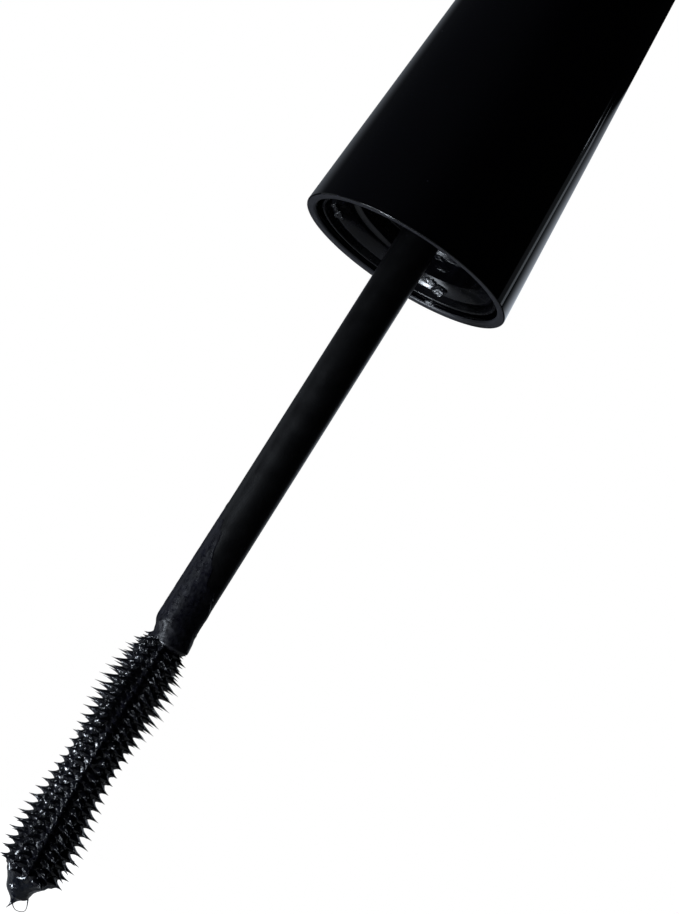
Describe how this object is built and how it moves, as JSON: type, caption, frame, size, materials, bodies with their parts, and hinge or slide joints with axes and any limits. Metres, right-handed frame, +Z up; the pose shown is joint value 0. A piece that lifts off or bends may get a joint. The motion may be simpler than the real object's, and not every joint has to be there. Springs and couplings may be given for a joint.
{
  "type": "mascara tube",
  "caption": "Mascara tube with its wand drawn out: round bottle with threaded neck and wiper, tapered screw cap, stem and hourglass moulded brush.",
  "frame": {"origin": "centre of the bottle's base, on the surface it stands on", "axes": "+Z up along the common axis of bottle, stem and cap; the wand stands above the open bottle, drawn out of it"},
  "size_m": [0.02, 0.02, 0.202],
  "materials": {
    "gloss_black": "piano gloss, moulded",
    "satin_black": "satin, moulded",
    "bottle_black": "semi-gloss, moulded",
    "liner_black": "satin, moulded",
    "insert_black": "gloss, moulded, mascara-smeared",
    "stem_satin": "satin, moulded",
    "brush_elastomer": "soft elastomer, wet with mascara",
    "mascara_wet": "wet, blue-black sheen",
    "wiper_soft": "natural soft polyethylene, satin",
    "washer_soft": "soft, matte",
    "weight_steel": "turned",
    "label_silver": "blank foil sticker"
  },
  "bodies": {
    "bottle": {"base_plug": "bottle_black", "base_label": "label_silver", "bottle_sleeve": "gloss_black", "inner_bottle": "bottle_black", "shoulder_collar": "satin_black", "rod_wiper": "wiper_soft", "mascara_fill": "mascara_wet"},
    "seal": {"seal_washer": "washer_soft"},
    "weight": {"cap_weight": "weight_steel"},
    "applicator": {"cap_shell": "gloss_black", "cap_liner": "liner_black", "threaded_insert": "insert_black", "applicator_stem": "stem_satin", "moulded_brush": "brush_elastomer", "mascara_coating": "mascara_wet"}
  },
  "joints": [
    {"name": "wand_pull", "type": "slide", "parent": "bottle", "child": "seal", "axis": [0, 0, -1], "range_m": [0, 0.08035], "deforming": ["rod_wiper"]},
    {"name": "thread_lift", "type": "slide", "parent": "seal", "child": "weight", "axis": [0, 0, -1], "range_m": [0, 0.0025]},
    {"name": "cap_turn", "type": "hinge", "parent": "weight", "child": "applicator", "pos_m": [0, 0, 0.15], "axis": [0, 0, -1], "range_deg": [0, 450.2]}
  ],
  "couplings": [
    {"joint": "cap_turn", "follows": "thread_lift", "rad_per_m": 3141.6}
  ]
}
